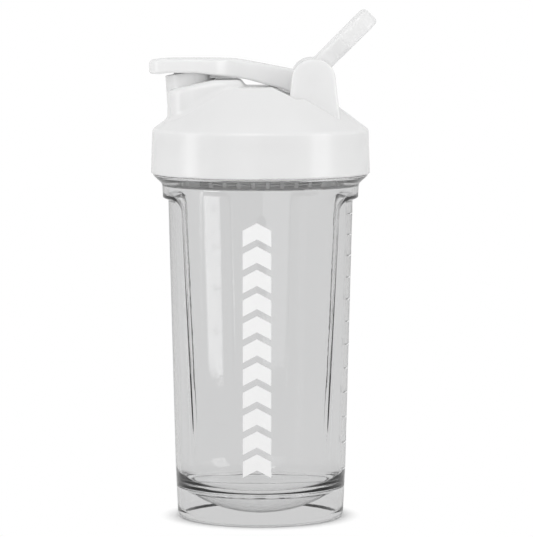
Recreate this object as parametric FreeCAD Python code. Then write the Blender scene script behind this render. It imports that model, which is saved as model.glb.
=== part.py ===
import FreeCAD, Part
import math
import os

# A shaker bottle, in millimetres. Z is up, the origin is the centre of the foot, the spout points
# along -X and the hinge with its carry loop stands on the +X side.

V = FreeCAD.Vector
UP, ALONG_X, ALONG_Y = V(0, 0, 1), V(1, 0, 0), V(0, 1, 0)
MIDDLE = V(0, 0, 0)

# Bottle
FOOT_RADIUS = 37.3          # outside, at the plane it stands on
SHOULDER_RADIUS = 44.2      # outside, where the cone ends under the flange
BODY_HEIGHT = 150.8         # foot to the start of the flange
BOTTLE_WALL = 2.0
FOOT_ROUND = 2.8            # rolled-in lower edge of the foot skirt
FOOT_LAND = 1.2             # width of the ring that it stands on
DISH_RIM = 17.0             # height where the dished floor leaves the wall
DISH_LIFT = 2.0             # gap under the middle of the dished floor
DISH_WALL = 2.2
FLANGE_FLARE = 4.0          # the flange flares out as much as it rises
FLANGE_ROUND = 0.8
FLANGE_EDGE = 0.2           # the flange's rim stands this far out of its flare
SHOULDER_BLEND = 1.5
RIM_ROUND = 0.6
FOOT_HOLLOW = 4.0           # height at which the skirt's inside is down to the wall's thickness
NECK_STEP = 0.8             # the neck's core stands this far outside the shoulder
NECK_WALL = 2.4
NECK_HEIGHT = 17.7          # flange to rim

# Side grips: two shallow recesses on the X sides
GRIP_HALF_WIDTH = 23.2
GRIP_TOP_DROP = 6.8         # below the start of the flange
GRIP_TOP_DEPTH = 2.45
GRIP_BOTTOM = 24.0          # height at which the recess has run out into the cone
GRIP_CORNER = 4.0
GRIP_OVERRUN = 6.0          # the cutter runs on this far below the end of the recess

# Screw thread, one start
THREAD_LEAD = 8.0
THREAD_HEIGHT = 1.6
THREAD_CLEARANCE = 0.4      # crest to root, and flank to flank
THREAD_FOOT_WIDTH = 2.6
THREAD_CREST_WIDTH = 1.2
THREAD_SUNK = 0.4           # the ridge's foot starts this deep in the wall
BOTTLE_THREAD_TURNS = 1.25
LID_THREAD_TURNS = 1.0
THREAD_DROP = 3.0           # middle of the last bottle turn, below the rim

# Lid
LID_WALL = 2.2
LID_GAP = 0.4               # skirt to flange
SKIRT_DRAFT = 0.6           # the skirt is this much wider at its lower edge
SKIRT_HEIGHT = 19.9
SHOULDER_SLOPE = 36.8       # degrees
SHOULDER_ROUND = 2.2
DOME_RISE = 19.3            # skirt top to the flat top of the dome
DOME_ROUND = 4.0
GASKET_THICKNESS = 1.8
GASKET_WIDTH = 2.6
SEAL_WALL = 1.6             # inner wall of the lid that reaches into the neck
SEAL_GAP = 0.7
SEAL_DEPTH = 6.5            # below the rim
SEAL_ROUND = 0.6
SKIRT_ROUND = 0.8
CEILING_CHAMFER = 1.4       # inner corner between skirt and ceiling

# Spout
SPOUT_SETBACK = 7.4         # skirt to the tower's outer wall
TOWER_LENGTH = 34.4
TOWER_WIDTH = 38.0
TOWER_INNER_CORNER = 9.0
TOWER_OUTER_CORNER = 10.0
TOWER_TOP_ROUND = 3.0
TOWER_FOOT_ROUND = 3.5
TOWER_RISE = 3.2            # highest part of the deck above the dome
DECK_BEND_ROUND = 12.0
DECK_SLOPE = 12.5           # degrees
DECK_SLOPE_END = 13.5       # the deck levels out this far from the tower's inner side
LIP_RADIUS = 10.35
LIP_FLARE = 0.9
LIP_HEIGHT = 4.6            # lip's lowest point above the dome
LIP_SLOPE = 9.5             # degrees
LIP_FOOT_DROP = 13.4        # the lip's wall reaches this far under its lowest point
SPOUT_HOLE_RADIUS = 8.0

# Hinge on the lid
HINGE_X = 23.6
HINGE_RISE = 2.8            # pin centre above the dome
POST_RADIUS = 9.8
POST_HEAD_FLAT = 1.0        # the head's corners are rounded this much less than a half circle
POST_SINK = 2.0             # the posts start this far above the skirt's top, inside the dome
POST_DRAFT = 6.8            # degrees
POST_INNER = 15.5           # half the slot between the posts
POST_THICKNESS = 6.0
POST_ROUND = 1.4
POST_SPLAY = 4.0            # degrees, outer face
SLOT_UNDER_EYE = 0.9        # the dome is cut down this far below the loop's eyes
SLOT_BEFORE_KNUCKLE = 1.1   # and the cut's floor is down this far in front of the cap's knuckle
SLOT_UNDER_ARM = 0.2        # the cut starts where the cap's arm comes this close to the dome
SLOT_ROUND = 3.0
PIN_RADIUS = 2.0
PIN_BLIND = 1.6             # wall left over the pin's hidden end
PIN_END_GAP = 0.1
PIN_CHAMFER = 0.4
PRESS_CLEARANCE = 0.02
RUNNING_CLEARANCE = 0.06
SIDE_CLEARANCE = 0.3        # between neighbours along the pin

# Flip cap
KNUCKLE_RADIUS = 6.6
PLATE_HALF_WIDTH = 15.5
PLATE_REACH = 10.0          # plate behind the spout's axis
TAB_REACH = 18.4            # tab in front of the spout's axis
CAP_TOP = 9.7               # plate top above the pin centre
CAP_THICKNESS = 6.2
TAB_LIP = 0.6               # the tab's underside hangs this far below the plate's
TAB_LIP_LENGTH = 5.0
TAB_LIP_RAMP = 4.0
TAB_TIP_ROUND = 1.6
TAB_TIP_DROP = 0.8          # the top falls this much towards the tab's tip
TAB_SIDE_DROP = 8.0         # along the tab, over which the top falls
TAB_NARROWING = 4.5
TAB_CORNER = 9.0
TAB_LENGTH = 17.0
PLATE_CORNER = 14.0
PLATE_TO_ARM = 8.0          # along the cap, from the plate's width to the arm's
ARM_BLEND = 12.0
ARM_BEND_DROP = 2.9         # underside above the tower's inner side, below the plate's
ARM_BEND_SHIFT = 1.0        # the underside bends this far behind the tower's inner side
ARM_BEND_ROUND = 20.0
ARM_STEEP_START = 4.5       # the arm's underside falls more steeply from this far before the posts
ARM_DROP = 3.7              # underside below the pin's centre there
ARM_STEEP_END = 1.2         # and runs into the knuckle this far behind the posts' edge
ARM_STEEP_DROP = 6.5        # underside below the pin's centre there
ARM_TOP_RISE = 3.0          # the arm's top at the pin, above the pin's centre
CREST_SETBACK = 3.5         # the level top ends this far before the tower's inner side
CROWN_ROUND = 60.0
HEEL_HALF_WIDTH = 8.6       # rib under the arm that closes the gap over the tower's deck
HEEL_START = 5.0            # beyond the spout's axis
HEEL_GAP = 0.6              # rib to deck, and rib's end to the tower's inner side
CAP_EDGE = 1.2
POCKET_CLEARANCE = 1.0
POCKET_ROOF = 3.7           # plate left over the pocket
PLUG_BOSS_RADIUS = 5.0
PLUG_BOSS_HEIGHT = 6.0
PLUG_GAP = 0.35
PLUG_TAPER = 0.7
PLUG_DEPTH = 9.5
PLUG_NOSE = 1.2
PLUG_FIT = 0.05

# Carry loop, drawn along its own bar and then leant back
LOOP_LEAN = 45.0            # degrees from level
LOOP_ARM_WIDTH = 5.0
LOOP_THICKNESS = 8.1
LOOP_TOP = 6.6              # the bar's upper face above the pin's centre
LOOP_EYE_RADIUS = 6.9
LOOP_LENGTH = 39.0          # pin centre to the tip
LOOP_HALF_WIDTH = 21.0
LOOP_FLARE_START = 13.5
LOOP_FLARE_END = 22.0
LOOP_BAR = 7.6              # the crossbar at the tip
LOOP_OPENING_HALF_WIDTH = 14.0
LOOP_CORNER = 7.5
LOOP_BEND = 8.0
LOOP_WINDOW_BEND = 6.0
LOOP_WINDOW_CORNER = 5.0
LOOP_EDGE = 1.8

# Mixing grid
GRID_GAP = 0.3
GRID_RING_WIDTH = 2.6
GRID_RING_HEIGHT = 2.8
GRID_PLATE = 1.6
GRID_STEP = 1.0             # ledge in the lid that the grid seats on
GRID_PITCH = 7.0
GRID_RIB = 1.8
GRID_RECESS = 0.5           # grid's seat below the rim

# Worked out from the sizes above
FLANGE_TOP = BODY_HEIGHT + FLANGE_FLARE
FLANGE_RADIUS = SHOULDER_RADIUS + FLANGE_FLARE + FLANGE_EDGE
NECK_RADIUS = SHOULDER_RADIUS + NECK_STEP
MOUTH_RADIUS = NECK_RADIUS - NECK_WALL
RIM = FLANGE_TOP + NECK_HEIGHT
THREAD_TOP_MIDDLE = RIM - THREAD_DROP
THREAD_START = THREAD_TOP_MIDDLE - BOTTLE_THREAD_TURNS * THREAD_LEAD
LID_BORE = NECK_RADIUS + THREAD_HEIGHT + THREAD_CLEARANCE
SKIRT_RADIUS = LID_BORE + LID_WALL
SKIRT_BOTTOM = FLANGE_TOP + LID_GAP
SKIRT_TOP = SKIRT_BOTTOM + SKIRT_HEIGHT
LID_CEILING = RIM + GASKET_THICKNESS
SEAL_RADIUS = MOUTH_RADIUS - SEAL_GAP
SLOPE = math.tan(math.radians(SHOULDER_SLOPE))
DOME_TOP = SKIRT_TOP + DOME_RISE
DOME_RADIUS = SKIRT_RADIUS - SKIRT_DRAFT - DOME_RISE / SLOPE
TOWER_RADIUS = SKIRT_RADIUS - SPOUT_SETBACK
SPOUT_X = LIP_RADIUS - TOWER_RADIUS
TOWER_INNER_X = TOWER_LENGTH - TOWER_RADIUS
HINGE_Z = DOME_TOP + HINGE_RISE
PIN = V(HINGE_X, 0, HINGE_Z)
POST_OUTER = POST_INNER + POST_THICKNESS
LOOP_OUTER = POST_INNER - SIDE_CLEARANCE
LOOP_INNER = LOOP_OUTER - LOOP_ARM_WIDTH
ARM_HALF_WIDTH = LOOP_INNER - SIDE_CLEARANCE
ARM_BEND_X = TOWER_INNER_X + ARM_BEND_SHIFT
ARM_BEND_Z = HINGE_Z + CAP_TOP - CAP_THICKNESS - ARM_BEND_DROP
ARM_STEEP_X = HINGE_X - POST_RADIUS - ARM_STEEP_START
ARM_STEEP_Z = HINGE_Z - ARM_DROP
ARM_TANGENT = (ARM_BEND_Z - ARM_STEEP_Z) / (ARM_STEEP_X - ARM_BEND_X)
SLOT_START = ARM_BEND_X + (ARM_BEND_Z - DOME_TOP - SLOT_UNDER_ARM) / ARM_TANGENT
SLOT_END = HINGE_X - KNUCKLE_RADIUS - SLOT_BEFORE_KNUCKLE
SLOT_FLOOR = HINGE_Z - LOOP_EYE_RADIUS - SLOT_UNDER_EYE
GRID_SEAT = RIM - GRID_RECESS
GRID_RADIUS = SEAL_RADIUS - SEAL_WALL - GRID_GAP
CAP_CEILING = HINGE_Z + CAP_TOP - POCKET_ROOF


def outline(corners):
    """Closed wire through (x, z, rounding) corners in the XZ plane, each rounded one as a tangent arc."""
    count = len(corners)
    places = [V(x, 0, z) for x, z, _ in corners]
    starts, ends, vias = [], [], []
    for i in range(count):
        here, rounding = places[i], corners[i][2]
        back = (places[i - 1] - here).normalize()
        ahead = (places[(i + 1) % count] - here).normalize()
        if rounding <= 0:
            starts.append(here)
            ends.append(here)
            vias.append(None)
            continue
        half = back.getAngle(ahead) / 2
        reach = rounding / math.tan(half)
        to_middle = (back + ahead).normalize()
        centre = here + to_middle * (rounding / math.sin(half))
        starts.append(here + back * reach)
        ends.append(here + ahead * reach)
        vias.append(centre - to_middle * rounding)
    edges = []
    for i in range(count):
        if vias[i] is not None:
            edges.append(Part.Arc(starts[i], vias[i], ends[i]).toShape())
        following = starts[(i + 1) % count]
        if (following - ends[i]).Length > 1e-6:
            edges.append(Part.LineSegment(ends[i], following).toShape())
    return Part.Wire(edges)


def spin(corners):
    """Solid of revolution about Z of a half outline in (radius, height, rounding) corners."""
    return Part.Face(outline(corners)).revolve(MIDDLE, UP, 360)


def slab(corners, low, high):
    """XZ outline carried along Y from low to high."""
    solid = Part.Face(outline(corners)).extrude(V(0, high - low, 0))
    solid.translate(V(0, low, 0))
    return solid


def plan(corners, low, high):
    """Outline in (x, y, rounding) corners, in the XY plane, carried up Z from low to high."""
    face = Part.Face(outline(corners))
    face.rotate(MIDDLE, ALONG_X, -90)
    face.translate(V(0, 0, low))
    return face.extrude(V(0, 0, high - low))


def rod(radius, start, end):
    """Cylinder between two points."""
    return Part.makeCylinder(radius, (end - start).Length, start, end - start)


def both_sides(solid):
    """The solid and its mirror image across the XZ plane, as two solids."""
    return [solid, solid.mirror(MIDDLE, ALONG_Y)]


def one_solid(shape):
    """The shape's only solid, with faces that lie on one surface joined."""
    joined = shape.removeSplitter()
    if len(joined.Solids) != 1:
        raise ValueError("expected one solid, found %d" % len(joined.Solids))
    return joined.Solids[0]


def edges_where(solid, test):
    """Edges of the solid whose middle point passes the test."""
    found = []
    for edge in solid.Edges:
        middle = edge.valueAt((edge.FirstParameter + edge.LastParameter) / 2)
        if test(middle, edge):
            found.append(edge)
    return found


def cone_radius(height):
    """Outside radius of the bottle's cone at a height."""
    return FOOT_RADIUS + (SHOULDER_RADIUS - FOOT_RADIUS) * height / BODY_HEIGHT


def thread_ridge(root, direction, start, turns):
    """One helical ridge: a trapezium carried along a helix. direction is +1 outwards and -1 inwards."""
    inner = root - direction * THREAD_SUNK
    crest = root + direction * THREAD_HEIGHT
    foot, tip = THREAD_FOOT_WIDTH / 2, THREAD_CREST_WIDTH / 2
    corners = [V(inner, 0, -foot), V(inner, 0, foot), V(crest, 0, tip), V(crest, 0, -tip)]
    section = Part.makePolygon(corners + corners[:1])
    path = Part.makeHelix(THREAD_LEAD, turns * THREAD_LEAD, root)
    ridge = Part.Wire(path).makePipeShell([section], True, True)
    ridge.translate(V(0, 0, start))
    return ridge


def grip_cutters(inset):
    """What the two side grips take away, grown inwards by inset so that the wall keeps its thickness."""
    top = BODY_HEIGHT - GRIP_TOP_DROP + inset
    top_radius = cone_radius(top) - GRIP_TOP_DEPTH - inset
    low_radius = cone_radius(GRIP_BOTTOM) - inset
    slope = (top_radius - low_radius) / (top - GRIP_BOTTOM)
    low = GRIP_BOTTOM - GRIP_OVERRUN
    core = spin([(0, low, 0), (low_radius - GRIP_OVERRUN * slope, low, 0),
                 (top_radius + slope, top + 1, 0), (0, top + 1, 0)])
    half, corner = GRIP_HALF_WIDTH + inset, GRIP_CORNER + inset
    reach = SHOULDER_RADIUS + 10
    window = Part.Face(outline([(-half, low, 0), (half, low, 0), (half, top, corner), (-half, top, corner)]))
    window.rotate(MIDDLE, UP, 90)
    window.translate(V(-reach, 0, 0))
    return window.extrude(V(2 * reach, 0, 0)).cut(core)


def bottle_body():
    """Clear bottle: a cone on a hollow foot, with side grips, a flange and a screw neck."""
    outer = spin([
        (0, 0, 0), (FOOT_RADIUS, 0, FOOT_ROUND), (SHOULDER_RADIUS, BODY_HEIGHT, SHOULDER_BLEND),
        (FLANGE_RADIUS, FLANGE_TOP - FLANGE_EDGE, FLANGE_ROUND), (FLANGE_RADIUS, FLANGE_TOP, 0),
        (NECK_RADIUS, FLANGE_TOP, 0), (NECK_RADIUS, RIM, RIM_ROUND), (0, RIM, 0)])
    dish_radius = cone_radius(DISH_RIM) - BOTTLE_WALL
    dish_middle = DISH_LIFT + DISH_WALL
    sag = DISH_RIM - dish_middle
    ball_radius = (dish_radius ** 2 + sag ** 2) / (2 * sag)
    ball_centre = V(0, 0, dish_middle + ball_radius)
    inside = spin([
        (0, 0, 0), (cone_radius(0) - BOTTLE_WALL, 0, 0), (SHOULDER_RADIUS - BOTTLE_WALL, BODY_HEIGHT, 0),
        (MOUTH_RADIUS, FLANGE_TOP, 0), (MOUTH_RADIUS, RIM, 0), (0, RIM, 0)])
    inside = inside.cut(grip_cutters(BOTTLE_WALL))
    ball = Part.makeSphere(ball_radius, ball_centre)
    under_ball = Part.makeSphere(ball_radius + DISH_WALL, ball_centre)
    above_floor = inside.common(ball)
    upper = inside.cut(spin([(0, 0, 0), (FOOT_RADIUS, 0, 0), (FOOT_RADIUS, DISH_RIM, 0), (0, DISH_RIM, 0)]))
    room = above_floor.fuse(upper)
    foot_hole = FOOT_RADIUS - FOOT_ROUND - FOOT_LAND
    under = spin([
        (0, 0, 0), (foot_hole, 0, 0), (foot_hole, 1.0, 0),
        (cone_radius(FOOT_HOLLOW) - BOTTLE_WALL, FOOT_HOLLOW, 1.0),
        (cone_radius(DISH_RIM) - BOTTLE_WALL, DISH_RIM, 0), (0, DISH_RIM, 0)]).cut(under_ball)
    body = outer.cut(grip_cutters(0)).cut(room).cut(under)
    return one_solid(body.fuse(thread_ridge(NECK_RADIUS, 1, THREAD_START, BOTTLE_THREAD_TURNS)))


def dome_solid(drop):
    """The lid's outside without tower or posts, moved inwards by drop for the space under it."""
    if drop:
        fall = drop / math.cos(math.radians(SHOULDER_SLOPE))
        ledge = SEAL_RADIUS - SEAL_WALL - GRID_STEP
        edge_height = DOME_TOP - (ledge - DOME_RADIUS) * SLOPE - fall
        flat_radius = DOME_RADIUS - (fall - drop) / SLOPE
        dome = spin([(0, LID_CEILING - 8, 0), (ledge, LID_CEILING - 8, 0), (ledge, edge_height, 0),
                     (flat_radius, DOME_TOP - drop, DOME_ROUND), (0, DOME_TOP - drop, 0)])
    else:
        dome = spin([(0, SKIRT_BOTTOM, 0), (SKIRT_RADIUS, SKIRT_BOTTOM, SKIRT_ROUND),
                     (SKIRT_RADIUS - SKIRT_DRAFT, SKIRT_TOP, SHOULDER_ROUND),
                     (DOME_RADIUS, DOME_TOP, DOME_ROUND), (0, DOME_TOP, 0)])
    far, high = SKIRT_RADIUS + 5, DOME_TOP + 10
    slot = slab([(SLOT_START, DOME_TOP - drop, 0), (SLOT_END, SLOT_FLOOR - drop, SLOT_ROUND),
                 (far, SLOT_FLOOR - drop, 0), (far, high, 0), (SLOT_START, high, 0)], -far, far)
    return dome.cut(slot)


def tower_block(inset, foot):
    """The spout tower above height foot, with every wall moved inwards by inset."""
    high = DOME_TOP + TOWER_RISE - inset
    half = TOWER_WIDTH / 2 - inset
    inner_x = TOWER_INNER_X - inset
    ring = Part.makeCylinder(TOWER_RADIUS - inset, high + 10 - foot, V(0, 0, foot))
    box = Part.makeBox(TOWER_RADIUS * 2, half * 2, high + 10 - foot,
                       V(inner_x - TOWER_RADIUS * 2, -half, foot))
    block = ring.common(box)

    def inner_corner(point, edge):
        return abs(point.x - inner_x) < 0.01 and abs(abs(point.y) - half) < 0.01

    def outer_corner(point, edge):
        return point.x < inner_x - 5 and abs(abs(point.y) - half) < 0.01 and upright(edge)

    block = block.makeFillet(TOWER_INNER_CORNER - inset, edges_where(block, inner_corner))
    block = block.makeFillet(TOWER_OUTER_CORNER - inset, edges_where(block, outer_corner))
    level = inner_x - (DECK_SLOPE_END - inset)
    far = TOWER_RADIUS + 5
    fall = (level + far) * math.tan(math.radians(DECK_SLOPE))
    lid = slab([(-far, high - fall, 0), (level, high, DECK_BEND_ROUND), (inner_x + 5, high, 0),
                (inner_x + 5, high + 30, 0), (-far, high + 30, 0)], -far, far)
    return block.cut(lid)


def upright(edge):
    """Whether an edge runs along Z."""
    first, last = edge.Vertexes[0].Point, edge.Vertexes[-1].Point
    return (first - last).Length > 1 and abs(abs((first - last).normalize().z) - 1) < 1e-3


def spout_lip():
    """Round lip about the spout's axis that widens upwards to a slanted rim."""
    low_rim = DOME_TOP + LIP_HEIGHT
    foot = low_rim - LIP_FOOT_DROP
    high = low_rim + 20
    widening = LIP_FLARE * (high - foot) / LIP_FOOT_DROP
    cone = Part.makeCone(LIP_RADIUS, LIP_RADIUS + widening, high - foot, V(SPOUT_X, 0, foot))
    start = SPOUT_X - LIP_RADIUS - LIP_FLARE
    rise = 60 * math.tan(math.radians(LIP_SLOPE))
    above = slab([(start - 20, low_rim - rise / 3, 0), (start + 40, low_rim + rise * 2 / 3, 0),
                  (start + 40, high + 20, 0), (start - 20, high + 20, 0)], -40, 40)
    return cone.cut(above)


def post_edge(height, side):
    """X of a post's drafted edge at a height; side is -1 towards the spout and +1 away from it."""
    lean = math.radians(POST_DRAFT)
    return HINGE_X + side * (POST_RADIUS / math.cos(lean) + (HINGE_Z - height) * math.tan(lean))


def hinge_posts():
    """The two posts: a round head over drafted edges, flat inside and splayed outside."""
    foot, top = SKIRT_TOP + POST_SINK, HINGE_Z + POST_RADIUS
    head = POST_RADIUS - POST_HEAD_FLAT
    splay = math.tan(math.radians(POST_SPLAY))
    side = slab([(post_edge(foot, -1), foot, 0), (post_edge(foot, 1), foot, 0),
                 (post_edge(top, 1), top, head), (post_edge(top, -1), top, head)],
                -SKIRT_RADIUS, -POST_INNER)
    across = Part.Face(outline([
        (-POST_INNER, foot, 0), (-POST_INNER, top, 0), (-POST_OUTER + (top - HINGE_Z) * splay, top, 0),
        (-POST_OUTER - (HINGE_Z - foot) * splay, foot, 0)]))
    across.rotate(MIDDLE, UP, 90)
    across.translate(V(-SKIRT_RADIUS, 0, 0))
    post = side.common(across.extrude(V(2 * SKIRT_RADIUS, 0, 0)))
    rims = edges_where(post, lambda point, edge: not along_y(edge) and point.z > foot + 1)
    return both_sides(post.makeFillet(POST_ROUND, rims))


def along_y(edge):
    """Whether an edge runs along Y."""
    first, last = edge.Vertexes[0].Point, edge.Vertexes[-1].Point
    return (first - last).Length > 1e-3 and abs(abs((first - last).normalize().y) - 1) < 1e-3


def dome_with_tower():
    """The lid's outside with the spout tower grown out of it, rounded at its deck and at its foot."""
    tower = tower_block(0, SKIRT_TOP)

    def deck_rim(point, edge):
        across_deck = along_y(edge) and abs(point.y) < 0.1 and 1 - TOWER_RADIUS < point.x < TOWER_INNER_X - 1
        return not upright(edge) and not across_deck and point.z > SKIRT_TOP + 5

    def foot_line(point, edge):
        cone_height = DOME_TOP - (math.hypot(point.x, point.y) - DOME_RADIUS) * SLOPE
        return abs(cone_height - point.z) < 0.05 and point.x < TOWER_INNER_X and point.z > SKIRT_TOP + 2.5

    tower = tower.makeFillet(TOWER_TOP_ROUND, edges_where(tower, deck_rim))
    grown = dome_solid(0).fuse(tower).removeSplitter()
    return grown.makeFillet(TOWER_FOOT_ROUND, edges_where(grown, foot_line))


def screw_lid():
    """White lid: threaded skirt, shoulder, dome, spout tower with its lip, and the hinge posts."""
    shell = dome_with_tower().fuse([spout_lip()] + hinge_posts())
    space = dome_solid(LID_WALL).fuse(tower_block(LID_WALL, LID_CEILING + 4))
    threads = spin([(0, SKIRT_BOTTOM - 1, 0), (LID_BORE, SKIRT_BOTTOM - 1, 0), (LID_BORE, RIM, 0),
                    (LID_BORE - CEILING_CHAMFER, LID_CEILING, 0), (0, LID_CEILING, 0)])
    wall, ledge = SEAL_RADIUS - SEAL_WALL, SEAL_RADIUS - SEAL_WALL - GRID_STEP
    seal = spin([(wall, RIM - SEAL_DEPTH, 0), (SEAL_RADIUS, RIM - SEAL_DEPTH, SEAL_ROUND),
                 (SEAL_RADIUS, LID_CEILING + 1, 0), (ledge, LID_CEILING + 1, 0),
                 (ledge, GRID_SEAT, 0), (wall, GRID_SEAT, 0)])
    hole = Part.makeCylinder(SPOUT_HOLE_RADIUS, 40, V(SPOUT_X, 0, DOME_TOP - 20))
    far_end = V(HINGE_X, POST_OUTER + 1, HINGE_Z)
    bore = rod(PIN_RADIUS + PRESS_CLEARANCE, V(HINGE_X, PIN_BLIND - POST_OUTER, HINGE_Z), far_end)
    lid = shell.cut(threads).fuse(seal).cut(space).cut(hole).cut(bore)
    flank = (THREAD_FOOT_WIDTH + THREAD_CREST_WIDTH) / 2 + THREAD_CLEARANCE
    ridge = thread_ridge(LID_BORE, -1, THREAD_START - flank, LID_THREAD_TURNS)
    return one_solid(lid.fuse(ridge))


def lid_gasket():
    """Flat silicone ring between the rim and the lid's ceiling."""
    inner = MOUTH_RADIUS - 0.3
    return spin([(inner, RIM, 0), (inner + GASKET_WIDTH, RIM, 0),
                 (inner + GASKET_WIDTH, LID_CEILING, 0), (inner, LID_CEILING, 0)])


def flip_cap():
    """White cap: thumb tab, plate over the spout, arm and knuckle, with a boss for the plug."""
    top = HINGE_Z + CAP_TOP
    low = top - CAP_THICKNESS
    lip_low = low - TAB_LIP
    plate_end = SPOUT_X + PLATE_REACH
    arm_start = plate_end + PLATE_TO_ARM
    tab_end = SPOUT_X - TAB_REACH
    lip_end = tab_end + TAB_LIP_LENGTH
    side = [(tab_end, lip_low, TAB_TIP_ROUND), (lip_end, lip_low, 3.0),
            (lip_end + TAB_LIP_RAMP, low, 6.0), (SPOUT_X + 3, low, ARM_BEND_ROUND),
            (ARM_BEND_X, ARM_BEND_Z, ARM_BEND_ROUND), (ARM_STEEP_X, ARM_STEEP_Z, 0),
            (HINGE_X - POST_RADIUS + ARM_STEEP_END, HINGE_Z - ARM_STEEP_DROP, 0),
            (HINGE_X, HINGE_Z - KNUCKLE_RADIUS + 1, 0), (HINGE_X, HINGE_Z + ARM_TOP_RISE, 0),
            (TOWER_INNER_X - CREST_SETBACK, top, CROWN_ROUND),
            (tab_end + TAB_SIDE_DROP, top, CROWN_ROUND / 2), (tab_end, top - TAB_TIP_DROP, TAB_TIP_ROUND)]
    half, arm = PLATE_HALF_WIDTH, ARM_HALF_WIDTH
    one_side = [(tab_end, -half + TAB_NARROWING, TAB_CORNER), (tab_end + TAB_LENGTH, -half, PLATE_CORNER),
                (plate_end, -half, ARM_BLEND), (arm_start, -arm, ARM_BLEND), (HINGE_X + 1, -arm, 0)]
    shape = one_side + [(x, -y, rounding) for x, y, rounding in reversed(one_side)]
    blank = slab(side, -half - 5, half + 5).common(plan(shape, low - 25, top + 5))

    def rim(point, edge):
        across = along_y(edge) and point.x > tab_end + 1
        return point.x < HINGE_X - 0.5 and not upright(edge) and not across

    blank = blank.makeFillet(CAP_EDGE, edges_where(blank, rim))
    knuckle = rod(KNUCKLE_RADIUS, V(HINGE_X, -arm, HINGE_Z), V(HINGE_X, arm, HINGE_Z))
    pocket_radius = LIP_RADIUS + LIP_FLARE + POCKET_CLEARANCE
    pocket = Part.makeCylinder(pocket_radius, 20, V(SPOUT_X, 0, CAP_CEILING - 20))
    boss_end = V(SPOUT_X, 0, CAP_CEILING - PLUG_BOSS_HEIGHT)
    boss = Part.makeCylinder(PLUG_BOSS_RADIUS, PLUG_BOSS_HEIGHT + 1, boss_end)
    bore = rod(PIN_RADIUS + RUNNING_CLEARANCE, V(HINGE_X, -arm - 1, HINGE_Z), V(HINGE_X, arm + 1, HINGE_Z))
    heel_low, heel_end = DOME_TOP + TOWER_RISE + HEEL_GAP, TOWER_INNER_X - HEEL_GAP
    heel = slab([(SPOUT_X + HEEL_START, heel_low, 0), (heel_end, heel_low, 0), (heel_end, low + 1, 0),
                 (SPOUT_X + HEEL_START, low + 1, 0)], -HEEL_HALF_WIDTH, HEEL_HALF_WIDTH)
    cap = blank.fuse(knuckle).fuse(heel).cut(pocket).fuse(boss).cut(bore)
    return one_solid(cap)


def spout_plug():
    """Silicone cup that is pushed over the cap's boss and stops the spout."""
    top = SPOUT_HOLE_RADIUS - PLUG_GAP
    body = spin([(0, CAP_CEILING - PLUG_DEPTH, 0), (top - PLUG_TAPER, CAP_CEILING - PLUG_DEPTH, PLUG_NOSE),
                 (top, CAP_CEILING, 0), (0, CAP_CEILING, 0)])
    body.translate(V(SPOUT_X, 0, 0))
    boss_end = V(SPOUT_X, 0, CAP_CEILING - PLUG_BOSS_HEIGHT)
    seat = Part.makeCylinder(PLUG_BOSS_RADIUS + PLUG_FIT, PLUG_BOSS_HEIGHT, boss_end)
    return one_solid(body.cut(seat))


def carry_loop():
    """White finger loop: two arms on the pin that widen into a ring with a crossbar."""
    outer, inner = LOOP_OUTER, LOOP_INNER
    wide, hole = LOOP_HALF_WIDTH, LOOP_OPENING_HALF_WIDTH
    half = [(0, -outer, 0), (LOOP_FLARE_START, -outer, LOOP_BEND), (LOOP_FLARE_END, -wide, LOOP_BEND),
            (LOOP_LENGTH, -wide, LOOP_CORNER)]
    other = [(x, -y, rounding) for x, y, rounding in reversed(half)]
    window = [(-LOOP_EYE_RADIUS - 1, -inner, 0), (LOOP_FLARE_START, -inner, LOOP_WINDOW_BEND),
              (LOOP_FLARE_END - 1, -hole, LOOP_WINDOW_BEND),
              (LOOP_LENGTH - LOOP_BAR, -hole, LOOP_WINDOW_CORNER)]
    other_window = [(x, -y, rounding) for x, y, rounding in reversed(window)]
    bar = plan(half + other, LOOP_TOP - LOOP_THICKNESS, LOOP_TOP)
    bar = bar.cut(plan(window + other_window, -20, 20))
    rims = edges_where(bar, lambda point, edge: point.x > LOOP_FLARE_START - 3 and not upright(edge))
    bar = bar.makeFillet(LOOP_EDGE, rims)
    bar = bar.fuse(both_sides(rod(LOOP_EYE_RADIUS, V(0, -outer, 0), V(0, -inner, 0))))
    bar = bar.cut(rod(PIN_RADIUS + RUNNING_CLEARANCE, V(0, -outer - 1, 0), V(0, outer + 1, 0)))
    bar.rotate(MIDDLE, ALONG_Y, -LOOP_LEAN)
    bar.translate(PIN)
    return one_solid(bar)


def hinge_pin():
    """Steel pin, pushed in from the far side."""
    blind_end = V(HINGE_X, PIN_BLIND + PIN_END_GAP - POST_OUTER, HINGE_Z)
    open_end = V(HINGE_X, POST_OUTER - PIN_CHAMFER, HINGE_Z)
    pin = rod(PIN_RADIUS, blind_end, open_end)
    return pin.makeChamfer(PIN_CHAMFER, [edge for edge in pin.Edges if len(edge.Vertexes) == 1])


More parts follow.
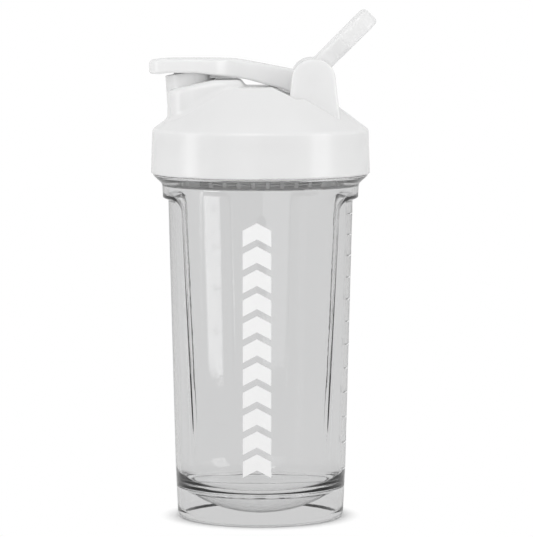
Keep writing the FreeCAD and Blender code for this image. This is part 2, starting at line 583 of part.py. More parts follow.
def mixing_grid():
    """Strainer: a ring with a plate of square openings, clipped up into the lid."""
    low = GRID_SEAT - GRID_RING_HEIGHT
    plate_low = GRID_SEAT - GRID_RING_HEIGHT / 2 - GRID_PLATE / 2
    ring_inner = GRID_RADIUS - GRID_RING_WIDTH
    ring = spin([(ring_inner, low, 0.4), (GRID_RADIUS, low, 0.8), (GRID_RADIUS, GRID_SEAT, 0),
                 (ring_inner, GRID_SEAT, 0.4)])
    plate = Part.makeCylinder(ring_inner + 0.5, GRID_PLATE, V(0, 0, plate_low))
    open_side = GRID_PITCH - GRID_RIB
    reach = int(ring_inner / GRID_PITCH)
    holes = []
    for i in range(-reach, reach + 1):
        for j in range(-reach, reach + 1):
            corner = math.hypot(abs(i) * GRID_PITCH + open_side / 2, abs(j) * GRID_PITCH + open_side / 2)
            if corner < ring_inner:
                place = V(i * GRID_PITCH - open_side / 2, j * GRID_PITCH - open_side / 2, plate_low - 1)
                holes.append(Part.makeBox(open_side, open_side, GRID_PLATE + 2, place))
    return one_solid(ring.fuse(plate.cut(Part.makeCompound(holes))))


NODES = {
    "bottle_body": bottle_body,
    "screw_lid": screw_lid,
    "lid_gasket": lid_gasket,
    "flip_cap": flip_cap,
    "spout_plug": spout_plug,
    "carry_loop": carry_loop,
    "hinge_pin": hinge_pin,
    "mixing_grid": mixing_grid,
}

os.makedirs("parts", exist_ok=True)
for name, make in NODES.items():
    make().exportStep("parts/%s.step" % name)
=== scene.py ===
import math

import bpy
import numpy as np
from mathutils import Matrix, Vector


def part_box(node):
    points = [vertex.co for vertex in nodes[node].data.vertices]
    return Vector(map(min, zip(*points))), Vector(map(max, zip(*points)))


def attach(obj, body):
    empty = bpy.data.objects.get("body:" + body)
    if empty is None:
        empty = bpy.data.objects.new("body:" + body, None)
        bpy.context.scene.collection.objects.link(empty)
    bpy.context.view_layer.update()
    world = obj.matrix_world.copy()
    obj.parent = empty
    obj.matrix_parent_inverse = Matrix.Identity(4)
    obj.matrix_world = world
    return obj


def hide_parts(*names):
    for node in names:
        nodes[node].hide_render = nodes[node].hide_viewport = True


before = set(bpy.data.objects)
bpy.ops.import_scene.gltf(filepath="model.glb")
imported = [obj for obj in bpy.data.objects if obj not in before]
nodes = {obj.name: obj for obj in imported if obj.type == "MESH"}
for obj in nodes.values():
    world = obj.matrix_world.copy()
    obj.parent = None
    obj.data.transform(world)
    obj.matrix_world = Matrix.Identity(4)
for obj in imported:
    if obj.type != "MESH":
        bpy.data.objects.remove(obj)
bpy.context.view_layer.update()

# ---------------------------------------------------------------------------------------------
# Bottle: one clear copolyester moulding. A cone that widens upwards on a hollow foot, a dished
# floor hung inside the foot, two shallow grips on the sides, a flared flange and a screw neck.
# ---------------------------------------------------------------------------------------------
MM = 0.001
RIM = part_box("bottle_body")[1].z
FOOT_RADIUS = 37.3 * MM
SHOULDER_RADIUS = 44.2 * MM
BODY_HEIGHT = 150.8 * MM
WALL = 2.0 * MM
FOOT_ROUND = 2.8 * MM
FOOT_LAND = 0.2 * MM
FOOT_HOLLOW = 4.0 * MM
DISH_RIM = 17.0 * MM
DISH_LIFT = 2.0 * MM
DISH_WALL = 2.2 * MM
DISH_FILLET = 5.0 * MM
FLARE = 4.0 * MM
NECK_RADIUS = SHOULDER_RADIUS + 0.8 * MM
MOUTH_RADIUS = NECK_RADIUS - 2.4 * MM
GRIP_HALF_WIDTH = 23.2 * MM
GRIP_TOP = BODY_HEIGHT - 6.8 * MM
GRIP_BOTTOM = 24.0 * MM
GRIP_DEPTH = 2.45 * MM
GRIP_CORNER = 5.0 * MM
GRIP_EDGE = 1.5 * MM
GRIP_INSET = 1.4 * MM
THREAD_LEAD = 8.0 * MM
THREAD_TURNS = 1.25
THREAD_START = RIM - 3.0 * MM - THREAD_TURNS * THREAD_LEAD
THREAD_HEIGHT = 1.6 * MM
THREAD_FOOT_HALF = 1.3 * MM
THREAD_FLANK = 0.7 * MM
THREAD_RUN_OUT = 0.06


def cone_radius(height):
    """Outside radius of the bottle's cone at a height: straight from the foot to the shoulder."""
    return FOOT_RADIUS + (SHOULDER_RADIUS - FOOT_RADIUS) * height / BODY_HEIGHT


def rounded_profile(corners, steps=6):
    """Open profile through (radius, height, rounding) corners. A rounded corner becomes points on the
    quadratic curve that starts and ends one rounding away from it; the rest stays straight."""
    points = [np.array(corners[0][:2])]
    for before, here, after in zip(corners, corners[1:], corners[2:]):
        spot = np.array(here[:2])
        if here[2] <= 0:
            points.append(spot)
            continue
        back, ahead = np.array(before[:2]) - spot, np.array(after[:2]) - spot
        start = spot + back / np.linalg.norm(back) * here[2]
        end = spot + ahead / np.linalg.norm(ahead) * here[2]
        t = np.linspace(0, 1, steps)[:, None]
        points.extend((1 - t) ** 2 * start + 2 * t * (1 - t) * spot + t ** 2 * end)
    points.append(np.array(corners[-1][:2]))
    return np.array(points)


def refined(profile, longest):
    """The profile with every run longer than the given length split into equal parts."""
    pieces = [profile[:1]]
    for start, end in zip(profile, profile[1:]):
        count = max(1, math.ceil(np.linalg.norm(end - start) / longest))
        pieces.append(start + (end - start) * np.linspace(0, 1, count + 1)[1:, None])
    return np.concatenate(pieces)


def mesh_piece(name, points, faces, smooth=True):
    """A mesh object from an array of points and a list of faces, smooth-shaded."""
    mesh = bpy.data.meshes.new(name)
    mesh.from_pydata(np.asarray(points).tolist(), [], faces)
    mesh.polygons.foreach_set("use_smooth", [smooth] * len(mesh.polygons))
    mesh.update()
    piece = bpy.data.objects.new(name, mesh)
    bpy.context.scene.collection.objects.link(piece)
    return piece


def lathe_faces(rows, columns):
    """Quads of a grid that closes on itself along its columns, plus a fan at each end row's pole.
    The grid's points come row by row, and the two poles follow as the last two points."""
    row, column = np.meshgrid(np.arange(rows - 1), np.arange(columns), indexing="ij")
    after = (column + 1) % columns
    quads = np.stack([row * columns + column, row * columns + after,
                      (row + 1) * columns + after, (row + 1) * columns + column], -1).reshape(-1, 4)
    around = np.arange(columns)
    following = (around + 1) % columns
    first = np.stack([np.full(columns, rows * columns), following, around], -1)
    top = (rows - 1) * columns
    last = np.stack([np.full(columns, rows * columns + 1), top + around, top + following], -1)
    return quads.tolist() + first.tolist() + last.tolist()


def smooth_step(value):
    """0 below 0, 1 above 1, and the cubic 3v^2 - 2v^3 between."""
    v = np.clip(value, 0, 1)
    return v * v * (3 - 2 * v)


def grip_depth(angle, radius, height, inset):
    """How far the side grips push the wall in. The recess is a window with round corners about the X
    axis, seen from the side; inside it the wall follows a line that runs out into the cone at the bottom."""
    across = np.abs(radius * np.sin(angle))
    facing = np.abs(np.cos(angle)) > 0.5
    half, top = GRIP_HALF_WIDTH + inset, GRIP_TOP + inset
    corner = GRIP_CORNER + inset
    over_x = np.maximum(across - (half - corner), 0)
    over_z = np.maximum(height - (top - corner), 0)
    outside = np.hypot(over_x, over_z) - corner
    window = smooth_step(0.5 - outside / GRIP_EDGE) * facing
    return window * GRIP_DEPTH * np.clip((height - GRIP_BOTTOM) / (GRIP_TOP - GRIP_BOTTOM), 0, 1)


def thread_rise(angle, height):
    """Height of the screw ridge on the neck: a trapezium about a helix, run out at both ends."""
    rise = np.zeros(np.broadcast(angle, height).shape)
    for turn in (0, 1):
        along = angle / (2 * np.pi) + turn
        middle = THREAD_START + THREAD_LEAD * along
        ends = smooth_step(along / THREAD_RUN_OUT) * smooth_step((THREAD_TURNS - along) / THREAD_RUN_OUT)
        flank = np.clip((THREAD_FOOT_HALF - np.abs(height - middle)) / THREAD_FLANK, 0, 1)
        rise = np.maximum(rise, THREAD_HEIGHT * flank * ends)
    return rise


dish_radius = cone_radius(DISH_RIM) - WALL
dish_sag = DISH_RIM - DISH_LIFT - DISH_WALL
ball_radius = (dish_radius ** 2 + dish_sag ** 2) / (2 * dish_sag)
under_radius = ball_radius + DISH_WALL
ball_height = DISH_LIFT + DISH_WALL + ball_radius
under_rim = ball_height - math.sqrt(under_radius ** 2 - dish_radius ** 2)

# The dished floor's two skins are arcs about one centre. They stop short of the wall, where the
# fillets take over, and just off the axis, where a fan of triangles closes them.
OFF_AXIS = 0.004
BOWL_STEPS = 26
UNDER_SHARE, INSIDE_SHARE = 0.97, 0.87


def bowl_arc(radius, angles):
    """Points (R sin a, centre - R cos a) of an arc about the dished floor's centre."""
    return np.stack([radius * np.sin(angles), ball_height - radius * np.cos(angles)], 1)


under_end = UNDER_SHARE * math.asin(dish_radius / under_radius)
inside_start = INSIDE_SHARE * math.asin(dish_radius / ball_radius)
bowl_under = bowl_arc(under_radius, np.linspace(OFF_AXIS, under_end, BOWL_STEPS))
bowl_inside = bowl_arc(ball_radius, np.linspace(inside_start, OFF_AXIS, BOWL_STEPS))

foot_hole = FOOT_RADIUS - FOOT_ROUND - FOOT_LAND
flange_top = BODY_HEIGHT + FLARE
flange_radius = SHOULDER_RADIUS + FLARE
wall_profile = rounded_profile([
    (*bowl_under[-1], 0),
    (cone_radius(under_rim) - WALL, under_rim + 0.2 * MM, 0.6 * MM),
    (cone_radius(FOOT_HOLLOW) - WALL, FOOT_HOLLOW, 1.0 * MM),
    (foot_hole, 0.9 * MM, 0.5 * MM),
    (foot_hole + 0.1 * MM, 0, 0.3 * MM),
    (FOOT_RADIUS, 0, FOOT_ROUND),
    (SHOULDER_RADIUS, BODY_HEIGHT, 1.2 * MM),
    (flange_radius, flange_top - 0.4 * MM, 0.5 * MM),
    (flange_radius, flange_top, 0.3 * MM),
    (NECK_RADIUS, flange_top, 0.5 * MM),
    (NECK_RADIUS, RIM, 0.7 * MM),
    (MOUTH_RADIUS, RIM, 0.7 * MM),
    (MOUTH_RADIUS, flange_top, 1.0 * MM),
    (SHOULDER_RADIUS - WALL, BODY_HEIGHT, 2.0 * MM),
    (cone_radius(DISH_RIM) - WALL, DISH_RIM - 0.2 * MM, DISH_FILLET),
    (*bowl_inside[0], 0)])
ROW = 1.6 * MM
FINE_ROW = 0.42 * MM
profile = refined(np.concatenate([bowl_under[:-1], wall_profile, bowl_inside[1:]]), ROW)

# Rows come closer together where the grips end and where the screw ridge runs.
inside_neck = (profile[:, 0] < MOUTH_RADIUS + 0.1 * MM) & (profile[:, 1] > flange_top)
near_top = (profile[:, 1] > GRIP_TOP - 6 * MM) & (profile[:, 1] < RIM - 0.5 * MM) & ~inside_neck
fine = [profile[:1]]
for start, end, dense in zip(profile, profile[1:], near_top[1:] & near_top[:-1]):
    count = max(1, math.ceil(np.linalg.norm(end - start) / FINE_ROW)) if dense else 1
    fine.append(start + (end - start) * np.linspace(0, 1, count + 1)[1:, None])
profile = np.concatenate(fine)

# Columns come closer together at the upright edges of the grips: a bell about each edge's angle.
EDGE_CROWD = 4.5
EDGE_BELL = 0.055
COLUMNS = 224
FIRST_FILLET_ROWS = 8
edge_angle = math.asin(GRIP_HALF_WIDTH / cone_radius(90 * MM))
density_angle = np.linspace(0, 2 * np.pi, 20001)
from_edge = np.abs(np.abs((density_angle + np.pi / 2) % np.pi - np.pi / 2) - edge_angle)
density = 1 + EDGE_CROWD * np.exp(-(from_edge / EDGE_BELL) ** 2)
share = np.concatenate([[0], np.cumsum((density[1:] + density[:-1]) / 2)])
angle = np.interp(np.arange(COLUMNS) / COLUMNS, share / share[-1], density_angle)

radius_grid = np.repeat(profile[:, :1], COLUMNS, 1)
height_grid = np.repeat(profile[:, 1:], COLUMNS, 1)
angle_grid = np.repeat(angle[None, :], len(profile), 0)
top_row = int(np.argmax(profile[:, 1]))
row_number = np.arange(len(profile))[:, None]
below_flange = height_grid < BODY_HEIGHT - 1 * MM
on_cone = radius_grid > cone_radius(height_grid) - 0.5 * MM
inside_foot = len(bowl_under) + FIRST_FILLET_ROWS
outer_wall = (row_number > inside_foot) & (row_number < top_row) & on_cone & below_flange
inner_wall = (row_number > top_row) & (height_grid > DISH_RIM) & below_flange
neck = (row_number < top_row) & (height_grid > flange_top) & (np.abs(radius_grid - NECK_RADIUS) < 1e-6)
outer_depth = grip_depth(angle_grid, radius_grid, height_grid, 0)
radius_grid = radius_grid - np.where(outer_wall, outer_depth, 0)
inner_depth = grip_depth(angle_grid, radius_grid + WALL, height_grid, GRIP_INSET)
radius_grid = radius_grid - np.where(inner_wall, inner_depth, 0)
radius_grid = radius_grid + np.where(neck, thread_rise(angle_grid, height_grid), 0)

x_grid, y_grid = radius_grid * np.cos(angle_grid), radius_grid * np.sin(angle_grid)
poles = [[0, 0, ball_height - under_radius], [0, 0, ball_height - ball_radius]]
bottle_points = np.concatenate([np.stack([x_grid, y_grid, height_grid], -1).reshape(-1, 3), poles])
bottle = mesh_piece("clear_bottle", bottle_points, lathe_faces(len(profile), COLUMNS))


def new_material(name):
    """A material with an empty node tree, its Principled shader and its output joined."""
    material = bpy.data.materials.new(name)
    material.use_nodes = True
    tree = material.node_tree
    tree.nodes.clear()
    shader = tree.nodes.new("ShaderNodeBsdfPrincipled")
    output = tree.nodes.new("ShaderNodeOutputMaterial")
    tree.links.new(shader.outputs["BSDF"], output.inputs["Surface"])
    return material, tree, shader


def noise_group(name):
    """Shader node group: a fine and a broad noise on Object coordinates, given as a value about 0.5
    for each (Fine, Broad) and as the two together for a bump (Height)."""
    group = bpy.data.node_groups.new(name, "ShaderNodeTree")
    for label, value in (("Fine Scale", 900.0), ("Broad Scale", 40.0), ("Fine Share", 0.5)):
        socket = group.interface.new_socket(label, in_out="INPUT", socket_type="NodeSocketFloat")
        socket.default_value = value
    for label in ("Fine", "Broad", "Height"):
        group.interface.new_socket(label, in_out="OUTPUT", socket_type="NodeSocketFloat")
    put, join = group.nodes.new, group.links.new
    given, result = put("NodeGroupInput"), put("NodeGroupOutput")
    place = put("ShaderNodeTexCoord")
    fine_noise, broad_noise = put("ShaderNodeTexNoise"), put("ShaderNodeTexNoise")
    fine_noise.inputs["Detail"].default_value = 2.0
    broad_noise.inputs["Detail"].default_value = 3.0
    both = put("ShaderNodeMix")
    join(place.outputs["Object"], fine_noise.inputs["Vector"])
    join(place.outputs["Object"], broad_noise.inputs["Vector"])
    join(given.outputs["Fine Scale"], fine_noise.inputs["Scale"])
    join(given.outputs["Broad Scale"], broad_noise.inputs["Scale"])
    join(given.outputs["Fine Share"], both.inputs["Factor"])
    join(broad_noise.outputs["Fac"], both.inputs["A"])
    join(fine_noise.outputs["Fac"], both.inputs["B"])
    join(fine_noise.outputs["Fac"], result.inputs["Fine"])
    join(broad_noise.outputs["Fac"], result.inputs["Broad"])
    join(both.outputs["Result"], result.inputs["Height"])
    return group


moulding_noise = noise_group("moulding_noise")


def add_noise(tree, fine, broad, fine_share):
    """The noise group placed in a material with its own scales."""
    node = tree.nodes.new("ShaderNodeGroup")
    node.node_tree = moulding_noise
    node.inputs["Fine Scale"].default_value = fine
    node.inputs["Broad Scale"].default_value = broad
    node.inputs["Fine Share"].default_value = fine_share
    return node


def spread(tree, value, low, high):
    """A value about 0.5 taken to the range from low to high."""
    node = tree.nodes.new("ShaderNodeMapRange")
    node.inputs["From Min"].default_value = 0.3
    node.inputs["From Max"].default_value = 0.7
    node.inputs["To Min"].default_value = low
    node.inputs["To Max"].default_value = high
    tree.links.new(value, node.inputs["Value"])
    return node.outputs["Result"]


def add_bump(tree, shader, height, strength, distance):
    """A bump of the given height in metres on the shader's normal."""
    node = tree.nodes.new("ShaderNodeBump")
    node.inputs["Strength"].default_value = strength
    node.inputs["Distance"].default_value = distance
    tree.links.new(height, node.inputs["Height"])
    tree.links.new(node.outputs["Normal"], shader.inputs["Normal"])


def add_shade(tree, shader, factor, first, second):
    """The shader's base colour, mixed from two colours by a value between 0 and 1."""
    shade = tree.nodes.new("ShaderNodeMix")
    shade.data_type = "RGBA"
    shade.inputs["A"].default_value = (*first, 1)
    shade.inputs["B"].default_value = (*second, 1)
    tree.links.new(factor, shade.inputs["Factor"])
    tree.links.new(shade.outputs["Result"], shader.inputs["Base Color"])


clear_copolyester, tree, shader = new_material("clear_copolyester")
shader.inputs["Transmission Weight"].default_value = 1.0
shader.inputs["IOR"].default_value = 1.52
noise = add_noise(tree, 260.0, 22.0, 0.25)
tree.links.new(spread(tree, noise.outputs["Fine"], 0.012, 0.035), shader.inputs["Roughness"])
add_shade(tree, shader, noise.outputs["Broad"], (0.965, 0.967, 0.97), (0.985, 0.985, 0.985))
add_bump(tree, shader, noise.outputs["Height"], 0.10, 0.0004)

bottle.data.materials.append(clear_copolyester)
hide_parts("bottle_body")
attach(bottle, "bottle")

# ---------------------------------------------------------------------------------------------
# Print on the bottle: white ink, screen-printed on the outside and a few hundredths thick. A plain
# column of arrow bands on the front, and a volume scale in the recess of the hinge side.
# ---------------------------------------------------------------------------------------------
INK = 0.06 * MM
INK_UNDER = 0.01 * MM
BAND_COUNT = 11
BAND_LOW, BAND_HIGH = 22.5 * MM, 139.0 * MM
BAND_HALF_WIDTH = 6.3 * MM
BAND_SHIFT = -1.5 * MM
BAND_RISE = 3.4 * MM
BAND_FILL = 0.7


def ink_film(across, height, base_angle, inset):
    """A closed ink film from a grid of (across, height) on the bottle: the grid is laid on the wall at
    the base angle, once on the wall and once an ink's thickness outside, and its border is closed."""
    rows, columns = across.shape
    reach = cone_radius(height)
    turn = base_angle + across / reach
    layers = []
    for lift in (INK_UNDER, INK):
        out = reach - inset(turn, reach, height) + lift
        layers.append(np.stack([out * np.cos(turn), out * np.sin(turn), height], -1).reshape(-1, 3))
    count = rows * columns
    row, column = np.meshgrid(np.arange(rows - 1), np.arange(columns - 1), indexing="ij")
    first = (row * columns + column).reshape(-1)
    quads = np.stack([first, first + 1, first + columns + 1, first + columns], -1)
    ring = np.concatenate([np.arange(columns), np.arange(1, rows) * columns + columns - 1,
                           (rows - 1) * columns + np.arange(columns - 2, -1, -1),
                           np.arange(rows - 2, 0, -1) * columns])
    after = np.roll(ring, -1)
    border = np.stack([ring, after, after + count, ring + count], -1)
    faces = np.concatenate([quads[:, ::-1], quads + count, border])
    return np.concatenate(layers), faces


def joined_films(name, films):
    """One piece from several closed ink films."""
    points, faces, start = [], [], 0
    for film_points, film_faces in films:
        points.append(film_points)
        faces.append(film_faces + start)
        start += len(film_points)
    return mesh_piece(name, np.concatenate(points), np.concatenate(faces).tolist(), smooth=False)


def no_recess(turn, reach, height):
    """The front of the bottle has no recess."""
    return 0 * height


def outer_recess(turn, reach, height):
    """The recess of the outer wall."""
    return grip_depth(turn, reach, height, 0)


pitch = (BAND_HIGH - BAND_LOW - BAND_RISE) / BAND_COUNT
across_line = np.linspace(-1, 1, 25)
through_line = np.linspace(0, 1, 5)
films = []
for number in range(BAND_COUNT):
    through, across = np.meshgrid(through_line, across_line, indexing="ij")
    height = BAND_LOW + pitch * (number + BAND_FILL * through) + BAND_RISE * (1 - np.abs(across))
    films.append(ink_film(BAND_SHIFT + BAND_HALF_WIDTH * across, height, -np.pi / 2, no_recess))
front_print = joined_films("front_print", films)

# The marks' heights come from the room over the dished floor, taken as a cone without its grips.
heights = np.linspace(DISH_LIFT + DISH_WALL, BODY_HEIGHT, 600)
bowl_reach = np.sqrt(np.clip(ball_radius ** 2 - (ball_height - heights) ** 2, 0, None))
inside_reach = np.where(heights < DISH_RIM, bowl_reach, cone_radius(heights) - WALL)
room = np.cumsum(np.pi * inside_reach ** 2) * (heights[1] - heights[0])
LITRE = 0.001
SCALE_ANGLE = math.radians(-14)
SCALE_STEP = 50
SCALE_TOP = 600
LONG_TICK, SHORT_TICK, TICK_THICKNESS = 8.0 * MM, 4.5 * MM, 0.55 * MM
NUMBER_START, NUMBER_SIZE = 9.2 * MM, 4.6 * MM
films = []
marks = []
for amount in range(SCALE_STEP, SCALE_TOP + 1, SCALE_STEP):
    level = float(np.interp(amount / 1000 * LITRE, room, heights))
    whole = amount % (2 * SCALE_STEP) == 0
    length = LONG_TICK if whole else SHORT_TICK
    through, across = np.meshgrid(np.linspace(-0.5, 0.5, 2), np.linspace(0, 1, 9), indexing="ij")
    films.append(ink_film(across * length, level + through * TICK_THICKNESS, SCALE_ANGLE, outer_recess))
    if whole:
        marks.append((amount, level))
scale_ticks = joined_films("scale_ticks", films)


def number_film(text, low_left, level, size):
    """Digits as a flat mesh, bent onto the recess of the bottle: across the text is arc length about
    the axis, up the text is height, and its thickness goes outwards."""
    curve = bpy.data.curves.new("digits", "FONT")
    curve.body = text
    curve.size = size
    curve.extrude = INK / 2
    curve.resolution_u = 3
    shape = bpy.data.objects.new("digits", curve)
    bpy.context.scene.collection.objects.link(shape)
    bpy.context.view_layer.update()
    mesh = bpy.data.meshes.new_from_object(shape.evaluated_get(bpy.context.evaluated_depsgraph_get()))
    bpy.data.objects.remove(shape)
    flat = np.zeros(len(mesh.vertices) * 3)
    mesh.vertices.foreach_get("co", flat)
    flat = flat.reshape(-1, 3)
    height = level + flat[:, 1] - flat[:, 1].mean()
    reach = cone_radius(height)
    turn = SCALE_ANGLE + (low_left + flat[:, 0]) / reach
    out = reach - grip_depth(turn, reach, height, 0) + flat[:, 2] + INK / 2 + INK_UNDER
    bent = np.stack([out * np.cos(turn), out * np.sin(turn), height], -1)
    faces = [list(face.vertices) for face in mesh.polygons]
    bpy.data.meshes.remove(mesh)
    return bent, faces


points, faces = [], []
for amount, level in marks:
    bent, digit_faces = number_film(str(amount), NUMBER_START, level, NUMBER_SIZE)
    start = sum(len(part) for part in points)
    faces.extend([[corner + start for corner in face] for face in digit_faces])
    points.append(bent)
scale_numbers = mesh_piece("scale_numbers", np.concatenate(points), faces, smooth=False)

white_ink, tree, shader = new_material("white_ink")
shader.inputs["Specular IOR Level"].default_value = 0.4
noise = add_noise(tree, 1600.0, 120.0, 0.5)
tree.links.new(spread(tree, noise.outputs["Fine"], 0.42, 0.6), shader.inputs["Roughness"])
add_shade(tree, shader, noise.outputs["Broad"], (0.95, 0.95, 0.95), (0.98, 0.98, 0.98))
for film in (front_print, scale_ticks, scale_numbers):
    film.data.materials.append(white_ink)
    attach(film, "bottle")

# ---------------------------------------------------------------------------------------------
# Lid: one white polypropylene moulding with a satin skin. Skirt with a screw thread, conical
# shoulder, spout tower with its round lip, and the two hinge posts.
# ---------------------------------------------------------------------------------------------


def white_plastic(name, low, high, roughness):
    """White polypropylene: a fine satin grain from the mould over a faint cloudiness."""
    material, tree, shader = new_material(name)
    shader.inputs["IOR"].default_value = 1.49
    shader.inputs["Subsurface Weight"].default_value = 0.5
    shader.inputs["Subsurface Radius"].default_value = (1.0, 1.0, 1.0)
    shader.inputs["Subsurface Scale"].default_value = 0.003
    noise = add_noise(tree, 1400.0, 45.0, 0.6)
    tree.links.new(spread(tree, noise.outputs["Fine"], roughness - 0.02, roughness + 0.03),
                   shader.inputs["Roughness"])
    add_shade(tree, shader, noise.outputs["Broad"], (low, low, low), (high, high, high))
    add_bump(tree, shader, noise.outputs["Height"], 0.07, 0.0001)
    return material


def dress(node, material):
    """Gives a CAD node its material in place of the plain one."""
    nodes[node].data.materials.clear()
    nodes[node].data.materials.append(material)


lid_plastic = white_plastic("white_lid_plastic", 0.845, 0.875, 0.23)
dress("screw_lid", lid_plastic)

# ---------------------------------------------------------------------------------------------
# Seals: the flat ring between rim and lid and the plug under the cap, both soft white silicone
# with a dull skin.
# ---------------------------------------------------------------------------------------------
silicone, tree, shader = new_material("white_silicone")
shader.inputs["IOR"].default_value = 1.41
noise = add_noise(tree, 700.0, 60.0, 0.5)
tree.links.new(spread(tree, noise.outputs["Fine"], 0.55, 0.72), shader.inputs["Roughness"])
add_shade(tree, shader, noise.outputs["Broad"], (0.78, 0.79, 0.80), (0.86, 0.86, 0.87))
add_bump(tree, shader, noise.outputs["Height"], 0.3, 0.0001)
dress("lid_gasket", silicone)
dress("spout_plug", silicone)

# ---------------------------------------------------------------------------------------------
# Cap, carry loop and mixing grid: white polypropylene mouldings like the lid. Cap and loop turn on
# the hinge pin, and the grid clips up into the lid.
# ---------------------------------------------------------------------------------------------
cap_plastic = white_plastic("white_cap_plastic", 0.86, 0.89, 0.23)
dress("flip_cap", cap_plastic)
dress("carry_loop", cap_plastic)
dress("mixing_grid", white_plastic("white_grid_plastic", 0.80, 0.86, 0.42))

# ---------------------------------------------------------------------------------------------
# Hinge pin: ground stainless steel wire, pushed in from the far side; only its end shows.
# ---------------------------------------------------------------------------------------------
steel, tree, shader = new_material("stainless_steel")
shader.inputs["Metallic"].default_value = 1.0
noise = add_noise(tree, 3000.0, 300.0, 0.6)
tree.links.new(spread(tree, noise.outputs["Fine"], 0.22, 0.38), shader.inputs["Roughness"])
add_shade(tree, shader, noise.outputs["Broad"], (0.60, 0.60, 0.59), (0.70, 0.70, 0.69))
dress("hinge_pin", steel)

# ---------------------------------------------------------------------------------------------
# Studio: a pale round floor under an even white surround. A tall soft light stands on each side, a
# weak one in front, a small one higher up for the highlights and a broad faint one overhead. The
# camera has a long lens and looks down a little.
# ---------------------------------------------------------------------------------------------
scene = bpy.context.scene
scene.view_settings.view_transform = "Standard"

# The floor is seen as white all round the bottle, fades to real paint under it, and is a little
# darker through the bottle than beside it.
FLOOR_RADIUS = 3.0
FLOOR_THROUGH = 0.64
FLOOR_GLOW_SHARE = 0.95
PAINT_END, GLOW_START = 0.034, 0.046
around = np.linspace(0, 2 * np.pi, 96, endpoint=False)
floor_points = np.stack([FLOOR_RADIUS * np.cos(around), FLOOR_RADIUS * np.sin(around), 0 * around], -1)
floor = mesh_piece("floor", floor_points, [list(range(96))], smooth=False)
floor_paint, tree, shader = new_material("floor_paint")
shader.inputs["Base Color"].default_value = (0.93, 0.93, 0.93, 1)
shader.inputs["Roughness"].default_value = 0.8
shader.inputs["Specular IOR Level"].default_value = 0.1
put, join = tree.nodes.new, tree.links.new
place, distance, fade = put("ShaderNodeTexCoord"), put("ShaderNodeVectorMath"), put("ShaderNodeMapRange")
path, seen, share = put("ShaderNodeLightPath"), put("ShaderNodeMath"), put("ShaderNodeMath")
glow, glow_strength, blend = put("ShaderNodeEmission"), put("ShaderNodeMix"), put("ShaderNodeMixShader")
distance.operation = "LENGTH"
seen.operation = "MULTIPLY"
share.operation = "MULTIPLY_ADD"
fade.interpolation_type = "SMOOTHSTEP"
fade.inputs["From Min"].default_value = PAINT_END
fade.inputs["From Max"].default_value = GLOW_START
share.inputs[1].default_value = FLOOR_GLOW_SHARE
glow_strength.inputs["A"].default_value = 1.0
glow_strength.inputs["B"].default_value = FLOOR_THROUGH
join(place.outputs["Object"], distance.inputs[0])
join(distance.outputs["Value"], fade.inputs["Value"])
join(fade.outputs["Result"], seen.inputs[0])
join(path.outputs["Is Camera Ray"], seen.inputs[1])
join(path.outputs["Is Transmission Ray"], share.inputs[0])
join(seen.outputs["Value"], share.inputs[2])
join(path.outputs["Is Transmission Ray"], glow_strength.inputs["Factor"])
join(glow_strength.outputs["Result"], glow.inputs["Strength"])
join(share.outputs["Value"], blend.inputs["Fac"])
join(shader.outputs["BSDF"], blend.inputs[1])
join(glow.outputs["Emission"], blend.inputs[2])
floor_output = next(node for node in tree.nodes if node.type == "OUTPUT_MATERIAL")
join(blend.outputs["Shader"], floor_output.inputs["Surface"])
floor.data.materials.append(floor_paint)

# The surround is white to the camera, dimmer as a light, in reflections and through the bottle.
SURROUND_SEEN = 1.0
SURROUND_LIGHT = 0.54
SURROUND_THROUGH = 0.64
SURROUND_MIRRORED = 0.86
world = bpy.data.worlds.new("studio")
scene.world = world
world.use_nodes = True
tree = world.node_tree
tree.nodes.clear()
put, join = tree.nodes.new, tree.links.new
path, surround = put("ShaderNodeLightPath"), put("ShaderNodeBackground")
output = put("ShaderNodeOutputWorld")
mirrored, through, strength = put("ShaderNodeMix"), put("ShaderNodeMix"), put("ShaderNodeMix")
mirrored.inputs["A"].default_value = SURROUND_LIGHT
mirrored.inputs["B"].default_value = SURROUND_MIRRORED
through.inputs["B"].default_value = SURROUND_THROUGH
strength.inputs["B"].default_value = SURROUND_SEEN
surround.inputs["Color"].default_value = (1, 1, 1, 1)
join(path.outputs["Is Glossy Ray"], mirrored.inputs["Factor"])
join(mirrored.outputs["Result"], through.inputs["A"])
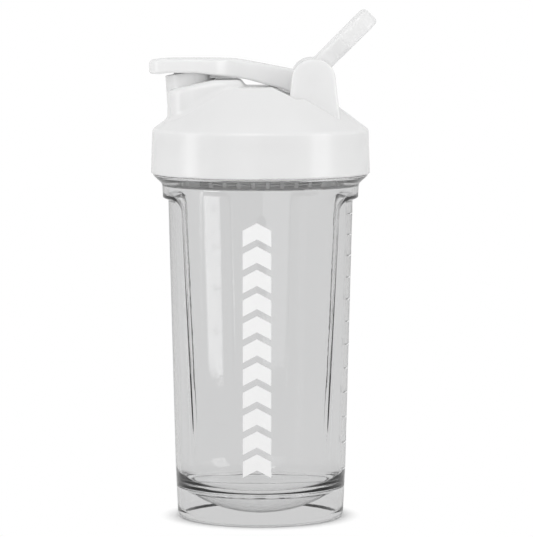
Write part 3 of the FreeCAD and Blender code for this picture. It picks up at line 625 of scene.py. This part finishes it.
join(path.outputs["Is Transmission Ray"], through.inputs["Factor"])
join(path.outputs["Is Camera Ray"], strength.inputs["Factor"])
join(through.outputs["Result"], strength.inputs["A"])
join(strength.outputs["Result"], surround.inputs["Strength"])
join(surround.outputs["Background"], output.inputs["Surface"])


LAMP_DISTANCE = 1.4


def soft_light(name, azimuth, elevation, width, height, radiance):
    """A rectangular area light of the given radiance that looks at the bottle's middle from an azimuth
    (0 is the camera's side, positive towards +X) and an elevation, both in degrees."""
    lamp = bpy.data.lights.new(name, "AREA")
    lamp.shape = "RECTANGLE"
    lamp.size, lamp.size_y = width, height
    lamp.energy = radiance * math.pi * width * height
    lit = bpy.data.objects.new(name, lamp)
    level = LAMP_DISTANCE * math.cos(math.radians(elevation))
    middle = Vector((0, 0, 0.12))
    lit.location = middle + Vector((level * math.sin(math.radians(azimuth)),
                                    -level * math.cos(math.radians(azimuth)),
                                    LAMP_DISTANCE * math.sin(math.radians(elevation))))
    lit.rotation_euler = (middle - lit.location).to_track_quat("-Z", "Y").to_euler()
    scene.collection.objects.link(lit)
    return lit


left_light = soft_light("left_light", azimuth=-78, elevation=10, width=0.4, height=1.3, radiance=2.6)
# Seen from the hinge side this lamp stands behind the bottle, so it doesn't show through it.
left_light.visible_transmission = False
soft_light("front_light", azimuth=-20, elevation=16, width=0.9, height=1.0, radiance=0.62)
soft_light("right_light", azimuth=66, elevation=10, width=0.6, height=1.3, radiance=2.4)
soft_light("key_light", azimuth=-14, elevation=52, width=0.5, height=0.4, radiance=3.9)
soft_light("top_light", azimuth=0, elevation=84, width=1.4, height=1.4, radiance=0.28)

camera_data = bpy.data.cameras.new("camera")
camera = bpy.data.objects.new("camera", camera_data)
scene.collection.objects.link(camera)
camera_data.sensor_width = 36.0
camera_data.lens = 237.0
camera_data.clip_end = 50.0
CAMERA_DISTANCE = 1.588
camera.location = (0.0027, -CAMERA_DISTANCE, 0.250)
camera.rotation_euler = (math.radians(90 - 4.96), 0, 0)
scene.camera = camera
